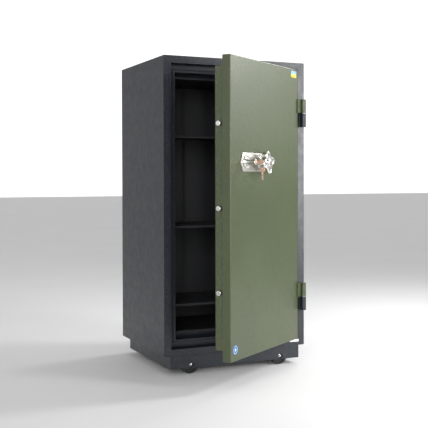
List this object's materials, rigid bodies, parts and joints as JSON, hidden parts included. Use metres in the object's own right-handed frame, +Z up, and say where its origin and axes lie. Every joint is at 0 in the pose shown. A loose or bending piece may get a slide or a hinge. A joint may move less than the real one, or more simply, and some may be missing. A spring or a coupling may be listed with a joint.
{
  "type": "fire resistant safe",
  "caption": "Tall two-tone fire safe on rollers: stepped door on barrel hinges, round locking bolts, lobed handle, key lock, shelved interior.",
  "frame": {"origin": "centre of the part's bounding box at floor level, door standing open as at rest", "axes": "+Z up; the front of the safe faces -Y; +X to the hinge side, seen from the front to the right"},
  "size_m": [0.742, 1.0138, 1.484],
  "materials": {
    "graphite": "satin",
    "liner_black": "matte",
    "seal_rubber": "matte",
    "fire_filling": "matte",
    "door_green": "satin",
    "chrome": "polished",
    "steel": "satin",
    "brass": "satin",
    "roller_black": "matte",
    "badge_silver": "satin",
    "label_two_tone": "gloss",
    "label_blue": "gloss"
  },
  "bodies": {
    "casing": {"outer_shell": "graphite", "back_panel": "graphite", "front_frame": "graphite", "frame_seal": "seal_rubber", "inner_liner": "liner_black", "body_insulation": "fire_filling", "strike_sleeves": "steel", "shelf_standards": "liner_black", "shelf_clips": "steel", "shelf_lower": "liner_black", "shelf_middle": "liner_black", "shelf_upper": "liner_black", "plinth": "graphite", "roller_brackets": "graphite", "roller_axles": "chrome", "axle_nuts": "steel", "body_knuckles": "graphite", "hinge_pins": "steel", "hinge_washers": "steel", "body_badge": "badge_silver"},
    "door": {"door_leaf": "door_green", "door_insulation": "fire_filling", "door_plug": "door_green", "plug_cover": "door_green", "cover_screws": "steel", "door_knuckles": "door_green", "dead_bars": "chrome", "bolt_guides": "steel", "escutcheon_plate": "chrome", "lock_rosette": "chrome", "handle_collar": "chrome", "lock_cylinder": "chrome", "lock_case": "steel", "door_label": "label_two_tone", "round_label": "label_blue"},
    "handle": {"handle_knob": "chrome", "handle_spindle": "steel", "drive_disc": "steel"},
    "bolt_carriage": {"bolt_bar": "steel", "locking_bolts": "chrome"},
    "lock_bolt": {"lock_bolt": "brass"},
    "key": {"cylinder_core": "brass", "key": "brass"},
    "key_ring": {"key_ring": "steel", "spare_key": "brass"},
    "roller_front_left": {"roller_front_left": "roller_black"},
    "roller_front_right": {"roller_front_right": "roller_black"},
    "roller_rear_left": {"roller_rear_left": "roller_black"},
    "roller_rear_right": {"roller_rear_right": "roller_black"}
  },
  "joints": [
    {"name": "door_hinge", "type": "hinge", "parent": "casing", "child": "door", "pos_m": [0.359, -0.12549, 0.784], "axis": [0, 0, 1], "range_deg": [-34.8, 145.2]},
    {"name": "handle_turn", "type": "hinge", "parent": "door", "child": "handle", "pos_m": [0.0134, -0.38518, 0.987], "axis": [0.5707, -0.8211, 0], "range_deg": [0, 90]},
    {"name": "bolt_slide", "type": "slide", "parent": "door", "child": "bolt_carriage", "axis": [-0.8211, -0.5707, 0], "range_m": [0, 0.022]},
    {"name": "key_turn", "type": "hinge", "parent": "door", "child": "key", "pos_m": [-0.08005, -0.47326, 0.987], "axis": [-0.5707, 0.8211, 0], "range_deg": [0, 90]},
    {"name": "lock_bolt_slide", "type": "slide", "parent": "door", "child": "lock_bolt", "axis": [0, 0, 1], "range_m": [0, 0.008]},
    {"name": "ring_swing", "type": "hinge", "parent": "key", "child": "key_ring", "pos_m": [-0.06236, -0.49872, 0.987], "axis": [0.8211, 0.5707, 0], "range_deg": [-30, 30]},
    {"name": "roller_front_left_spin", "type": "hinge", "parent": "casing", "child": "roller_front_left", "pos_m": [-0.237, -0.08149, 0.042], "axis": [0, 1, 0], "continuous": true},
    {"name": "roller_front_right_spin", "type": "hinge", "parent": "casing", "child": "roller_front_right", "pos_m": [0.237, -0.08149, 0.042], "axis": [0, 1, 0], "continuous": true},
    {"name": "roller_rear_left_spin", "type": "hinge", "parent": "casing", "child": "roller_rear_left", "pos_m": [-0.237, 0.45151, 0.042], "axis": [0, 1, 0], "continuous": true},
    {"name": "roller_rear_right_spin", "type": "hinge", "parent": "casing", "child": "roller_rear_right", "pos_m": [0.237, 0.45151, 0.042], "axis": [0, 1, 0], "continuous": true}
  ],
  "couplings": [
    {"joint": "bolt_slide", "follows": "handle_turn", "m_per_rad": 0.014006},
    {"joint": "lock_bolt_slide", "follows": "key_turn", "m_per_rad": 0.005093}
  ]
}
